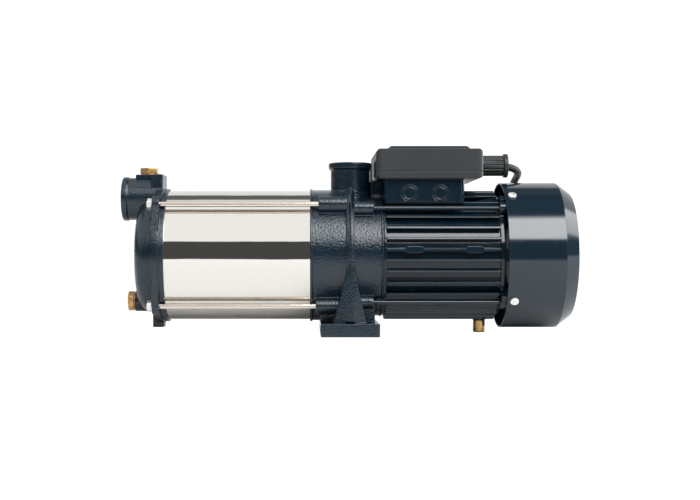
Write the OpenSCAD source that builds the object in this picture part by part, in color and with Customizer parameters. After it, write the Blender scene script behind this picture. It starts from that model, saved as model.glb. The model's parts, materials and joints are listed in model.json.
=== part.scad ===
// Horizontal multistage surface pump: a cast suction cover, a polished barrel with five stages,
// a cast bracket on one foot, and a finned motor with a terminal box and a pressed fan cover.
// X runs along the shaft from the pump to the motor, Y across, Z up.
// The origin is on the floor under the shaft, at the middle of the foot.

/* [Overall] */
// Height of the shaft axis above the floor
axis_h = 77; // [75:0.5:90]
// Number of facets on round parts
fineness = 64; // [32:8:96]

/* [Barrel and stages] */
// Outer radius of the polished barrel
barrel_r = 64; // [63:0.25:65]
// Wall of the barrel
barrel_t = 1.5; // [1:0.1:2]
// Length of the barrel
barrel_len = 147; // [135:1:170]
// Thickness of the flat seal ring at each end of the barrel
seal_t = 1.5; // [1:0.1:2]
// Length of the two pilot rings that the stages are clamped between
pilot_len = 3; // [2:0.25:4]
// Wall of a stage casing
casing_t = 2; // [1.5:0.1:2.5]
// Thickness of the front web of a stage casing
web_t = 2.5; // [2:0.1:3]
// Radius of the eye bore in a stage casing
eye_r = 19.5; // [18:0.25:21]
// Outer radius of an impeller
impeller_r = 50; // [44:0.5:53]
// Width of the water way inside an impeller
impeller_gap = 5.7; // [4:0.1:7]
// Thickness of the shrouds and blades of an impeller
shroud_t = 1.7; // [1.4:0.1:2]
// Blades on each impeller
impeller_blades = 6; // [5:1:8]
// Return vanes in each stage casing
return_vanes = 8; // [6:1:10]

/* [Suction cover] */
// Outer radius of the cover dome
dome_r = 56.5; // [55:0.25:57.5]
// Radius of the flat front face of the cover
dome_flat_r = 42; // [38:0.5:45]
// How far the dome stands in front of the barrel socket
dome_len = 25.5; // [22:0.5:30]
// Wall of the cover
cover_t = 5; // [4:0.25:6]
// Radius of the flange that the tie rods clamp
flange_r = 67; // [66.5:0.25:69]
// Thickness of that flange
flange_t = 7; // [6:0.25:9]
// Wall of the collar round each end of the barrel
collar_t = 2; // [1.5:0.1:3]
// Height of the suction port above the shaft
suction_h = 56; // [54:0.5:60]
// Length of the suction port from its mouth to its closed end
suction_len = 40.5; // [38:0.5:44]
// How far the mouth of the suction port stands in front of the barrel socket
suction_reach = 41.5; // [38:0.5:46]
// Length of the flat pad under the fill plug
fill_boss_len = 28; // [25:0.5:32]
// Width of the flat pad under the fill plug
fill_boss_w = 37; // [30:0.5:40]
// How far the flat top of the fill boss stands above the suction port axis
fill_boss_h = 23.8; // [23.5:0.1:27]
// How far the drain plug sits below the shaft
drain_drop = 45.8; // [44:0.2:47]
// Outer radius of the drain boss
drain_boss_r = 10.3; // [9.5:0.1:11]
// How far the drain boss stands in front of the barrel socket
drain_reach = 29.4; // [28:0.1:34]

/* [Ports and plugs] */
// Outer radius of the pipe thread in both ports, G1
port_thread_r = 16.65; // [16.3:0.05:17]
// Outer radius of both port necks
port_r = 22; // [20.5:0.25:23]
// Depth of the thread in each port
port_depth = 18; // [15:0.5:20]
// Radius of the water way behind each thread
way_r = 13.5; // [12:0.25:14.5]
// Height of the top of the discharge port above the shaft
discharge_h = 91.7; // [88:0.5:96]
// Outer radius of the discharge neck under its collar
neck_r = 19.6; // [19:0.1:21]
// Place of the discharge port along the shaft
discharge_x = 2.2; // [1:0.1:3]
// Width across the flats of the plug heads
plug_af = 17; // [16:0.25:18]
// Height of the plug heads
plug_head = 5.9; // [5:0.1:8]
// Outer radius of the plug thread, G1/4
plug_thread_r = 6.58; // [6.4:0.02:6.7]
// Length of the plug thread
plug_len = 10; // [8:0.5:11]
// Thickness of the sealing washer under each plug
plug_washer_t = 1; // [0.8:0.1:1.6]

/* [Tie rods] */
// Distance of each tie rod from the shaft, along Y and along Z
tie_at = 49; // [48.5:0.25:50]
// Radius of the tie rods
tie_r = 2.65; // [2.4:0.05:3]
// Width across the flats of the tie rod nuts
tie_nut_af = 10; // [9:0.25:11]
// Height of the tie rod nuts
tie_nut_h = 4.8; // [4:0.1:6]

/* [Bracket and foot] */
// Radius of the bracket body round the pump end
bracket_r = 65; // [64.5:0.25:66]
// Radius of the bracket body round the motor end
lantern_r = 60.4; // [59:0.2:62]
// Radius of the ring flange between the two
ridge_r = 68; // [67:0.25:69]
// Where the motor seats on the bracket
bracket_end = 32.5; // [32:0.25:35]
// Length of the foot plate along the shaft
foot_len = 56; // [52:1:64]
// Width of the foot plate across the shaft
foot_w = 160; // [150:1:176]
// Thickness of the foot plate
foot_t = 12.5; // [10:0.5:14]
// Distance between the two foot holes
foot_pitch = 136; // [132:1:140]
// Radius of the foot holes
foot_hole_r = 4.75; // [4:0.25:5.5]
// Radius of the bosses for the tie rods
tie_boss_r = 8; // [7:0.25:8.5]
// Radius of the bosses for the motor bolts
bolt_boss_r = 6.5; // [6:0.25:7.5]

/* [Shaft and bearings] */
// Radius of the shaft in the pump
shaft_r = 7; // [6.5:0.1:7.3]
// Radius of the shaft in both bearings
seat_r = 7.5; // [7.4:0.05:8]
// Radius of the shaft in the rotor
core_r = 9.5; // [9:0.1:11]
// Outer radius of both bearings
bearing_r = 17.5; // [17:0.1:18]
// Width of both bearings
bearing_w = 11; // [10:0.25:12]
// Running gap between the turning and the fixed parts
run_gap = 0.4; // [0.3:0.05:0.6]
// Gap between pieces that are fitted together and don't turn
fit_gap = 0.1; // [0.05:0.01:0.15]

/* [Motor] */
// Length of the motor frame
frame_len = 112; // [106:1:130]
// Radius over the fin tips
fin_r = 64; // [63.5:0.25:65]
// Outer radius of the frame wall
wall_r = 57.5; // [56.5:0.25:58.5]
// Radius of the stator core
stator_r = 52; // [50:0.25:53]
// Bore radius of the stator core
air_r = 31.4; // [30:0.1:33]
// Length of the stator and rotor cores
stack_len = 60; // [50:1:64]
// Slots in the stator
slots = 24; // [18:6:24]
// Distance between the cooling fins
fin_pitch = 10.7; // [10.2:0.1:11]
// Thickness of a fin
fin_t = 2.2; // [1.6:0.1:2.6]
// Distance of each motor bolt from the shaft, along Y and along Z
bolt_at = 45.5; // [45:0.25:46.5]
// Radius of the motor bolts
bolt_r = 2.25; // [2:0.05:2.5]
// Radius of the brass support pin under the motor
pin_r = 5.95; // [5:0.05:6.5]
// Place of the support pin along the shaft
pin_x = 130.8; // [126:0.2:133]

/* [Fan and fan cover] */
// Outer radius of the fan cover
fan_cover_r = 72; // [71.5:0.25:74]
// Wall of the fan cover
sheet_t = 1.2; // [1:0.1:1.6]
// Length of the straight part of the fan cover
fan_cover_len = 55; // [53:0.5:62]
// Length of the cone of the fan cover
cone_len = 13.5; // [12:0.5:20]
// Radius of the rear face of the fan cover
rear_face_r = 62; // [56:0.5:64]
// Outer radius of the fan
fan_r = 60; // [54:0.5:64]
// Length of the fan blades
fan_len = 24; // [20:0.5:26]
// Blades on the fan
fan_blades = 8; // [6:1:10]

/* [Terminal box] */
// Length of the cast base under the terminal box
base_len = 77.3; // [74:0.5:84]
// Width of the cast base
base_w = 96; // [90:1:100]
// Height of the top of the cast base above the shaft
base_h = 73; // [72:0.25:76]
// Length of the terminal box
box_len = 103; // [98:0.5:108]
// Width of the terminal box
box_w = 110; // [106:1:116]
// Height of the lower part of the box
tray_h = 7; // [6:0.25:9]
// Height of the upper part of the box
lid_h = 21.5; // [20:0.25:25]
// Height of the raised top
raised_h = 3.1; // [2:0.1:6]
// Wall of the box
box_t = 2.5; // [2:0.1:3]
// Radius of the run capacitor
capacitor_r = 12.5; // [11:0.25:13]
// Length of the run capacitor
capacitor_len = 60; // [50:1:66]
// Length of the terminal block
block_len = 50; // [40:1:60]
// Width of the terminal block
block_w = 18; // [14:0.5:20]
// Radius of the cable gland body
gland_r = 10.25; // [9.5:0.25:11]
// Flutes round the gland nut
flutes = 16; // [12:2:20]
// Length of the cable gland outside the box
gland_len = 30.7; // [28:0.5:34]

/* [Power cable] */
// Radius of the power cable
cable_r = 3.75; // [3.25:0.05:4]
// Turns of cable in the put-away hank
hank_layers = 4; // [3:1:6]

/* [Hidden] */
$fn = fineness;
stages = 5;

paint = [0.11, 0.18, 0.23];
steel = [0.82, 0.82, 0.80];
brass = [0.75, 0.55, 0.30];
black = [0.17, 0.17, 0.18];
rubber = [0.10, 0.10, 0.11];
copper = [0.72, 0.42, 0.25];
resin = [0.86, 0.84, 0.76];

// Places along the shaft, each worked out from the piece in front of it
socket_x = -33;
lip_x = socket_x - 5;
ridge_x0 = -3.5;
ridge_x1 = 5;
barrel_x1 = socket_x - seal_t;
barrel_x0 = barrel_x1 - barrel_len;
cover_x = barrel_x0 - seal_t;
stack_x0 = cover_x + pilot_len;
stack_x1 = socket_x - pilot_len;
stage_pitch = (stack_x1 - stack_x0) / stages;
flange_x0 = cover_x + 0.5 - flange_t;
collar_x1 = cover_x + 5.3;
dome_x = cover_x - dome_len;
suction_x = cover_x - suction_reach;
fill_x = suction_x + suction_len - 14.5;
fill_z = axis_h + suction_h + fill_boss_h;
fill_boss_x1 = fill_x - 12.5 + fill_boss_len;
drain_x = cover_x - drain_reach;

// Radii in the pump, from the barrel inwards
bore_r = barrel_r - barrel_t;
pilot_r = bore_r - 0.3;
casing_r = bore_r - 0.3;
chamber_r = pilot_r - 3.3;
socket_r = barrel_r + 0.15;
return_r = casing_r - casing_t - 4;

// Inside one stage, from its front face
shroud_x = web_t + 0.8;
wheel_x1 = shroud_x + shroud_t + impeller_gap + shroud_t;
disc_x = wheel_x1 + 2.2;
hub_r = shaft_r + 3;
hub_x0 = shroud_x + shroud_t + 3;
hub_x1 = wheel_x1 + 2;

// The shaft seal, the lantern and the bearings
wall_x0 = 2.5;
wall_x1 = 10;
seal_face_x = wall_x0 + 0.5;
seat_depth = 5;
seal_head_len = 11;
spring_len = 12;
spacer_end = seal_face_x - seal_head_len - spring_len - 0.5;
lantern_inner_r = lantern_r - 11.4;
bearing_x0 = bracket_end - bearing_w - 0.5;
front_hub_x = bearing_x0 - 2.5;
frame_end = bracket_end + frame_len;
rear_bearing_x = frame_end - 4.5;
core_x0 = bracket_end + 30;
core_x1 = core_x0 + stack_len;
fin_x0 = bracket_end + 2.9;

// The fan and its cover
rim_x = frame_end + 5.8;
cone_x = rim_x + fan_cover_len;
rear_x = cone_x + cone_len;
screw_x = rim_x + 7.1;
screw_turn = 7.7;
lug_r = fan_cover_r - sheet_t - 0.3;
fan_x = rear_bearing_x + bearing_w + 14;
fan_end = fan_x + fan_len;
shaft_end = fan_end + 5;

// The terminal box
base_x0 = bracket_end + 1.3;
base_z = axis_h + base_h;
gasket_t = 0.8;
tray_z = base_z + gasket_t;
box_x0 = base_x0 - 8.4;
box_x1 = box_x0 + box_len;
lid_z = tray_z + tray_h;
lid_top = lid_z + lid_h;
gland_z = lid_z + 8.4;
gland_end = box_x1 + gland_len;

// The power cable: out of the gland, over the shoulder of the fan cover, down behind it
// and along the floor to the hank
cable_route = [[133, 0, 166.2], [140, 0, 166.2], [147, 0, 166.2], [155, 1.4, 165.8], [162.5, 5.2, 164.8],
  [168.7, 11.1, 163.2], [172.6, 18.7, 161.2], [174, 27, 159], [173, 42, 152.5], [172, 55, 143],
  [171, 67, 130], [170, 75, 115], [169, 79, 98], [168, 81, 80], [168, 82, 62], [168.5, 83, 45],
  [169, 84.5, 34], [169.6, 88, 22], [171, 95, 12.5], [172.6, 105, 6], [174, 116.2, 3.75]];
hank_at = [200, 132];
hank_turn = -9.7;
hank_bend = 23;
hank_run = 75;
hank_h = hank_layers * 2 * cable_r;
lead_in = 19.6;
tie_y = 44;
tie_w = 12;
plug_s = -8;
plug_t = 80;
plug_r = 18.5;
plug_body = 17;
tail_z = hank_h + 8;
tail_y0 = 40;

// Moves its children up to the shaft axis
module at_axis() { translate([0, 0, axis_h]) children(); }

// Round bar along X
module bar_x(x0, x1, r) { translate([x0, 0, 0]) rotate([0, 90, 0]) cylinder(h = x1 - x0, r = r); }

// Round tube along X
module tube_x(x0, x1, outer, inner) {
  difference() {
    bar_x(x0, x1, outer);
    bar_x(x0 - 1, x1 + 1, inner);
  }
}

// Turned shape about X, from an outline of [radius, x] points
module turned(outline) { rotate([0, 90, 0]) rotate_extrude() polygon(outline); }

// Copies its children to the four corners of a square across the shaft
module at_corners(half) {
  for (y = [-half, half], z = [-half, half]) translate([0, y, z]) children();
}

// Box between two corners
module block(a, b) { translate(a) cube(b - a); }

// Upright block with round corners
module round_block(a, b, r) {
  block([a[0] + r, a[1], a[2]], [b[0] - r, b[1], b[2]]);
  block([a[0], a[1] + r, a[2]], [b[0], b[1] - r, b[2]]);
  for (x = [a[0] + r, b[0] - r], y = [a[1] + r, b[1] - r])
    translate([x, y, a[2]]) cylinder(h = b[2] - a[2], r = r);
}

// Hexagon bar along X with its corners up and down
module hex_x(x0, x1, af) {
  translate([x0, 0, 0]) rotate([0, 90, 0]) cylinder(h = x1 - x0, r = af / sqrt(3), $fn = 6);
}

// Curved blade along X between two radii: a slice of a thin ring whose centre is off the axis
module blade_x(x0, x1, inner, outer, thick, bend) {
  intersection() {
    difference() {
      bar_x(x0, x1, outer);
      bar_x(x0 - 1, x1 + 1, inner);
    }
    translate([0, bend, 0]) difference() {
      bar_x(x0, x1, bend + thick / 2);
      bar_x(x0 - 1, x1 + 1, bend - thick / 2);
    }
    block([x0 - 1, 0, 0], [x1 + 1, outer + 1, outer + 1]);
  }
}

// Tube swept along a list of points, as one closed surface
function unit(v) = v / norm(v);
function heading(p, i) = unit(p[min(i + 1, len(p) - 1)] - p[max(i - 1, 0)]);
function ring_points(p, i, r, sides, ref) =
  let (t = heading(p, i), u = unit(cross(t, ref)), v = cross(t, u))
  [for (j = [0:sides - 1]) p[i] + r * (cos(360 * j / sides) * u + sin(360 * j / sides) * v)];
module swept_tube(p, r, sides, ref) {
  last = len(p) - 1;
  polyhedron(
    points = [for (i = [0:last]) each ring_points(p, i, r, sides, ref)],
    faces = concat(
      [[for (j = [0:sides - 1]) j]],
      [[for (j = [sides - 1:-1:0]) last * sides + j]],
      [for (i = [0:last - 1], j = [0:sides - 1])
        let (k = (j + 1) % sides)
        each [[i * sides + j, (i + 1) * sides + j, (i + 1) * sides + k],
          [i * sides + j, (i + 1) * sides + k, i * sides + k]]]));
}

// Cast suction cover: dome, clamp flange, collar round the barrel, suction neck and two bosses
module suction_cover() {
  inner_r = dome_r - cover_t;
  color(paint) difference() {
    union() {
      at_axis() turned([[0, dome_x], [dome_flat_r, dome_x], [dome_flat_r + 8, dome_x + 2],
        [dome_r - 2.5, dome_x + 5.5], [dome_r, dome_x + 10.5], [dome_r, flange_x0],
        [flange_r, flange_x0], [flange_r, flange_x0 + flange_t],
        [socket_r + collar_t, flange_x0 + flange_t], [socket_r + collar_t, collar_x1],
        [socket_r, collar_x1], [socket_r, cover_x], [pilot_r, cover_x], [pilot_r, stack_x0], [inner_r, stack_x0],
        [inner_r, dome_x + cover_t + 5], [inner_r - 5, dome_x + cover_t], [0, dome_x + cover_t]]);
      at_axis() at_corners(tie_at) bar_x(flange_x0, flange_x0 + flange_t, tie_boss_r);
      at_axis() for (a = [45:90:315]) rotate([a, 0, 0]) ear_web(tie_at * sqrt(2));
      translate([0, 0, axis_h + suction_h]) {
        bar_x(suction_x + 3, suction_x + suction_len, port_r - 0.8);
        turned([[0, suction_x], [port_r - 1.2, suction_x], [port_r, suction_x + 1.5],
          [port_r, suction_x + 5.5], [port_r - 0.8, suction_x + 6.3], [0, suction_x + 6.3]]);
      }
      round_block([fill_x - 12.5, -12, axis_h + suction_h], [fill_boss_x1, 12, fill_z], 3);
      round_block([fill_x + 3.5, -fill_boss_w / 2, axis_h + suction_h],
        [fill_boss_x1, fill_boss_w / 2, fill_z], 1.5);
      translate([0, 0, axis_h - drain_drop]) bar_x(drain_x, flange_x0 + 1, drain_boss_r);
      at_axis() block([flange_x0 - 4.5, -9, -flange_r - 4.6], [cover_x, 9, -dome_r + 2]);
      at_axis() block([dome_x + 10, -7, dome_r - 4], [cover_x, 7, suction_h + port_r - 8]);
    }
    translate([0, 0, axis_h + suction_h]) {
      bar_x(suction_x - 1, suction_x + port_depth, port_thread_r);
      bar_x(suction_x, suction_x + suction_len - cover_t, way_r);
    }
    translate([suction_x + suction_len - cover_t - way_r + 3, 0, axis_h + inner_r - 20])
      cylinder(h = suction_h - inner_r + 20, r = way_r - 3);
    translate([fill_x, 0, axis_h + suction_h])
      cylinder(h = fill_boss_h + 1, r = plug_thread_r + fit_gap);
    translate([0, 0, axis_h - drain_drop]) {
      bar_x(drain_x - 1, drain_x + plug_len + 2, plug_thread_r + fit_gap);
      bar_x(drain_x, dome_x + 14, plug_thread_r - 2);
    }
    at_axis() at_corners(tie_at) bar_x(flange_x0 - 1, flange_x0 + flange_t + 1, tie_r + 0.35);
    at_axis() tube_x(cover_x, collar_x1, socket_r, pilot_r);
  }
}

// Web between the disc of the flange and one ear, along the lines that touch both
module ear_web(ear_at) {
  a = acos((flange_r - tie_boss_r) / ear_at);
  disc = flange_r - 0.4;
  ear = tie_boss_r - 0.4;
  translate([flange_x0 + 0.2, 0, 0]) rotate([90, 0, 90]) linear_extrude(flange_t - 0.4) polygon([
    [disc * cos(a), disc * sin(a)], [ear_at + ear * cos(a), ear * sin(a)],
    [ear_at + ear * cos(a), -ear * sin(a)], [disc * cos(a), -disc * sin(a)], [dome_r - 4, 0]]);
}

// Brass hexagon plug standing along Z, its washer face at z = 0 and its thread below
module hex_plug() {
  color(brass) {
    cylinder(h = plug_head, r = plug_af / sqrt(3), $fn = 6);
    translate([0, 0, -plug_len]) cylinder(h = plug_len + 1, r = plug_thread_r);
  }
}
module plug_ring() {
  color(copper) difference() {
    cylinder(h = plug_washer_t, r = plug_af / 2);
    translate([0, 0, -1]) cylinder(h = plug_washer_t + 2, r = plug_thread_r + fit_gap);
  }
}
module fill_plug() { translate([fill_x, 0, fill_z + plug_washer_t]) rotate([0, 0, 30]) hex_plug(); }
module fill_plug_washer() { translate([fill_x, 0, fill_z]) plug_ring(); }
module drain_plug() {
  translate([drain_x - plug_washer_t, 0, axis_h - drain_drop]) rotate([0, -90, 0]) hex_plug();
}
module drain_plug_washer() {
  translate([drain_x, 0, axis_h - drain_drop]) rotate([0, -90, 0]) plug_ring();
}

// Polished barrel and the two flat rings that seal its ends
module barrel() { color(steel) at_axis() tube_x(barrel_x0, barrel_x1, barrel_r, bore_r); }
module barrel_front_seal() {
  color(rubber) at_axis() tube_x(cover_x, barrel_x0, barrel_r, pilot_r + fit_gap);
}
module barrel_rear_seal() {
  color(rubber) at_axis() tube_x(barrel_x1, socket_x, barrel_r, pilot_r + fit_gap);
}

// Four tie rods that clamp the cover, the barrel and the stages against the bracket
module tie_rods() {
  color(steel) at_axis() at_corners(tie_at)
    bar_x(flange_x0 - tie_nut_h - 1, ridge_x0 - 4, tie_r);
}
module tie_rod_nuts() {
  color(steel) at_axis() at_corners(tie_at) difference() {
    hex_x(flange_x0 - tie_nut_h, flange_x0, tie_nut_af);
    bar_x(flange_x0 - tie_nut_h - 1, flange_x0 + 1, tie_r + fit_gap);
  }
}

// Cast bracket: discharge chamber, wall of the shaft seal, lantern, motor seat and foot
// Wedge that runs down each side from the ring flange to the foot plate, its front folded to a
// low ridge and its edges in front of the bosses of the tie rods
module foot_rib() {
  rib_foot_w = 32;
  rib_top_w = 4;
  rib_top_z = axis_h - 9;
  ridge_x = 1.2;
  rib_depth = 30;
  fold = 4.5;
  rib_x = rib_foot_w / 2 + 2;
  for (s = [-1, 1]) intersection() {
    translate([0, foot_w / 2, 0]) rotate([90, 0, 0]) linear_extrude(foot_w)
      polygon([[-rib_foot_w / 2, foot_t - 1], [rib_foot_w / 2, foot_t - 1],
        [ridge_x + rib_top_w / 2, rib_top_z], [ridge_x - rib_top_w / 2, rib_top_z]]);
    translate([ridge_x, s * (ridge_r + 0.4), 0]) linear_extrude(axis_h)
      polygon([[0, 0], [rib_x, -s * fold], [rib_x, -s * rib_depth], [-rib_x, -s * rib_depth],
        [-rib_x, -s * fold]]);
  }
}
module pump_bracket() {
  neck_z = axis_h + discharge_h;
  color(paint) difference() {
    union() {
      at_axis() {
        turned([[0, lip_x], [socket_r + collar_t, lip_x], [socket_r + collar_t, lip_x + 2.5],
          [bracket_r, lip_x + 2.5], [bracket_r, ridge_x0], [ridge_r - 0.8, ridge_x0],
          [ridge_r - 0.6, ridge_x0 + 3.4], [ridge_r + 0.6, ridge_x0 + 4.2], [ridge_r + 0.6, ridge_x0 + 6],
          [ridge_r - 0.6, ridge_x0 + 7], [ridge_r - 1.2, ridge_x1], [lantern_r, ridge_x1],
          [lantern_r, bracket_end - 1.6], [lantern_r + 1, bracket_end - 1.6],
          [lantern_r + 1, bracket_end], [0, bracket_end]]);
        for (a = [45:90:315]) rotate([a, 0, 0]) {
          block([lip_x + 8.5, 0.6 - tie_boss_r, 50],
            [ridge_x0 + 1, tie_boss_r - 0.6, tie_at * sqrt(2)]);
          block([ridge_x1 - 1, 0.6 - bolt_boss_r, 50], [22.5, bolt_boss_r - 0.6, bolt_at * sqrt(2)]);
        }
        for (y = [-tie_at, tie_at], z = [-tie_at, tie_at])
          translate([0, y, z]) bar_x(lip_x + (z < 0 ? 5.5 : 8), ridge_x0 + 1, tie_boss_r);
        at_corners(bolt_at) bar_x(ridge_x1 - 1, 23, bolt_boss_r);
      }
      translate([discharge_x, 0, axis_h + 50]) cylinder(h = discharge_h - 55, r = neck_r);
      translate([discharge_x, 0, 0]) rotate_extrude()
        polygon([[0, neck_z - 8], [neck_r, neck_z - 8], [port_r - 0.3, neck_z - 5.6],
          [port_r - 0.3, neck_z - 0.8], [port_r - 1.1, neck_z], [0, neck_z]]);
      translate([discharge_x, 0, 0]) rotate_extrude()
        polygon([[0, axis_h + 50], [neck_r + 3, axis_h + 50], [neck_r + 3, axis_h + bracket_r - 5.5],
          [neck_r + 1, axis_h + bracket_r - 3.5], [neck_r, axis_h + bracket_r - 0.5],
          [0, axis_h + bracket_r - 0.5]]);
      round_block([-foot_len / 2, -foot_w / 2, 0], [foot_len / 2, foot_w / 2, foot_t], 3);
      block([-27.6, -39, foot_t - 1], [25, 39, axis_h - 30]);
      foot_rib();
    }
    at_axis() {
      turned([[0, lip_x - 1], [socket_r, lip_x - 1], [socket_r, socket_x], [pilot_r, socket_x],
        [pilot_r, socket_x - pilot_len], [chamber_r, socket_x - pilot_len], [chamber_r, ridge_x0],
        [chamber_r - 6, wall_x0], [0, wall_x0]]);
      bar_x(wall_x0 - 1, seal_face_x + seat_depth, 15 + fit_gap);
      bar_x(wall_x0 - 1, wall_x1 + 1, 11);
      difference() {
        bar_x(wall_x1, bracket_end - 6, lantern_inner_r);
        bar_x(front_hub_x, bracket_end, bearing_r + 5);
      }
      bar_x(bearing_x0, bracket_end + 1, bearing_r + fit_gap / 2);
      bar_x(front_hub_x - 1, bracket_end, bearing_r - 3.5);
      at_corners(tie_at) bar_x(lip_x, ridge_x0 - 4, tie_r + fit_gap);
      at_corners(bolt_at) bar_x(ridge_x1 + 4, bracket_end + 1, bolt_r + fit_gap);
    }
    translate([discharge_x, 0, axis_h + lantern_inner_r + 5.5])
      cylinder(h = discharge_h - lantern_inner_r - 5.5, r = way_r);
    translate([discharge_x, 0, neck_z - port_depth]) cylinder(h = port_depth + 1, r = port_thread_r);
    for (y = [-foot_pitch / 2, foot_pitch / 2])
      translate([0, y, -1]) cylinder(h = foot_t + 2, r = foot_hole_r);
  }
}

// One stage casing: front web with the eye, skirt, and behind the impeller the disc with the
// return vanes
module stage_casing(n) {
  x = stack_x0 + (n - 1) * stage_pitch;
  color(resin) at_axis() {
    tube_x(x, x + stage_pitch, casing_r, casing_r - casing_t);
    tube_x(x, x + web_t, casing_r - casing_t + 0.5, eye_r);
    tube_x(x + disc_x, x + disc_x + web_t, return_r, hub_r + run_gap + 0.4);
    for (i = [0:return_vanes - 1]) rotate([i * 360 / return_vanes, 0, 0])
      blade_x(x + disc_x + web_t - 0.3, x + stage_pitch, 24, casing_r - casing_t + 0.4, 2, 34);
  }
}

// One closed impeller: eye ring, front shroud, curved blades, rear shroud and hub
module impeller(n) {
  x = stack_x0 + (n - 1) * stage_pitch;
  in_x = x + shroud_x;
  color(resin) at_axis() difference() {
    union() {
      tube_x(x + 0.8, in_x + 0.5, eye_r - run_gap, eye_r - run_gap - 2);
      tube_x(in_x, in_x + shroud_t, impeller_r, eye_r - run_gap - 2);
      tube_x(x + wheel_x1 - shroud_t, x + wheel_x1, impeller_r, shaft_r + 1);
      bar_x(x + hub_x0, x + hub_x1, hub_r);
      for (i = [0:impeller_blades - 1]) rotate([i * 360 / impeller_blades, 0, 0])
        blade_x(in_x + shroud_t - 0.3, x + wheel_x1 - shroud_t + 0.3, eye_r - 4, impeller_r - 0.6,
          shroud_t, 30);
    }
    bar_x(x - 1, x + stage_pitch, shaft_r + fit_gap / 2);
  }
}

// Sleeves that space the impellers, and the last one up to the shaft seal
module shaft_spacers() {
  color(steel) at_axis() for (n = [1:stages]) {
    x = stack_x0 + (n - 1) * stage_pitch;
    tube_x(x + hub_x1, n == stages ? spacer_end : x + stage_pitch + hub_x0, hub_r - 0.5,
      shaft_r + fit_gap / 2);
  }
}
module impeller_nut() {
  color(brass) at_axis() difference() {
    hex_x(stack_x0 + hub_x0 - 8, stack_x0 + hub_x0, 19);
    bar_x(stack_x0 + hub_x0 - 9, stack_x0 + hub_x0 + 1, shaft_r + fit_gap / 2);
  }
}

// Mechanical seal: fixed seat in the wall, turning head against it, and the spring behind the head
module seal_seat() {
  color(resin) at_axis() tube_x(seal_face_x, seal_face_x + seat_depth, 15, shaft_r + 1.2);
}
module seal_head() {
  color(black) at_axis() turned([[shaft_r + fit_gap / 2, seal_face_x - seal_head_len],
    [14, seal_face_x - seal_head_len], [14, seal_face_x - 3], [11.5, seal_face_x - 3],
    [11.5, seal_face_x - 0.1], [shaft_r + fit_gap / 2, seal_face_x - 0.1]]);
}
module seal_spring() {
  coils = 4;
  wire = 0.8;
  steps = 12 * coils;
  x0 = spacer_end + wire + 0.1;
  x1 = seal_face_x - seal_head_len - wire - 0.1;
  color(steel) at_axis() swept_tube([for (i = [0:steps])
    [x0 + (x1 - x0) * i / steps, 10.5 * cos(360 * coils * i / steps), 10.5 * sin(360 * coils * i / steps)]],
    wire, 6, [1, 0, 0]);
}
module slinger() {
  color(rubber) at_axis() turned([[shaft_r + fit_gap / 2, wall_x1 + 2], [9.5, wall_x1 + 2],
    [9.5, wall_x1 + 3.5], [13.5, wall_x1 + 3.5], [13.5, wall_x1 + 5],
    [shaft_r + fit_gap / 2, wall_x1 + 5]]);
}

// Stepped shaft through pump and motor
module pump_shaft() {
  color(steel) at_axis() turned([[0, stack_x0 - 4], [shaft_r - 1, stack_x0 - 4], [shaft_r, stack_x0 - 3],
    [shaft_r, bearing_x0 - 1], [seat_r, bearing_x0 - 1], [seat_r, bearing_x0 + bearing_w],
    [core_r, bearing_x0 + bearing_w], [core_r, rear_bearing_x], [seat_r, rear_bearing_x],
    [seat_r, rear_bearing_x + bearing_w + 1], [shaft_r - 0.5, rear_bearing_x + bearing_w + 1],
    [shaft_r - 0.5, shaft_end - 1], [shaft_r - 1.5, shaft_end], [0, shaft_end]]);
}

// Deep groove ball bearing in three parts: outer ring, inner ring and the set of balls
ball_r = 2.9;
track_r = 3.15;
module bearing_outer(x) {
  pitch_r = (bearing_r + seat_r) / 2;
  color(steel) at_axis() difference() {
    tube_x(x, x + bearing_w, bearing_r, pitch_r + 1.6);
    translate([x + bearing_w / 2, 0, 0]) rotate([0, 90, 0]) rotate_extrude()
      translate([pitch_r, 0]) circle(r = track_r);
  }
}
module bearing_inner(x) {
  pitch_r = (bearing_r + seat_r) / 2;
  color(steel) at_axis() difference() {
    tube_x(x, x + bearing_w, pitch_r - 1.6, seat_r + fit_gap / 2);
    translate([x + bearing_w / 2, 0, 0]) rotate([0, 90, 0]) rotate_extrude()
      translate([pitch_r, 0]) circle(r = track_r);
  }
}
module bearing_balls(x) {
  pitch_r = (bearing_r + seat_r) / 2;
  color(steel) at_axis() translate([x + bearing_w / 2, 0, 0]) for (a = [0:45:315])
    rotate([a, 0, 0]) translate([0, 0, pitch_r]) sphere(r = ball_r);
}
module wave_washer() {
  color(steel) at_axis() tube_x(rear_bearing_x + bearing_w + 0.05, rear_bearing_x + bearing_w + 0.95,
    bearing_r - 0.3, bearing_r - 4);
}

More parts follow.
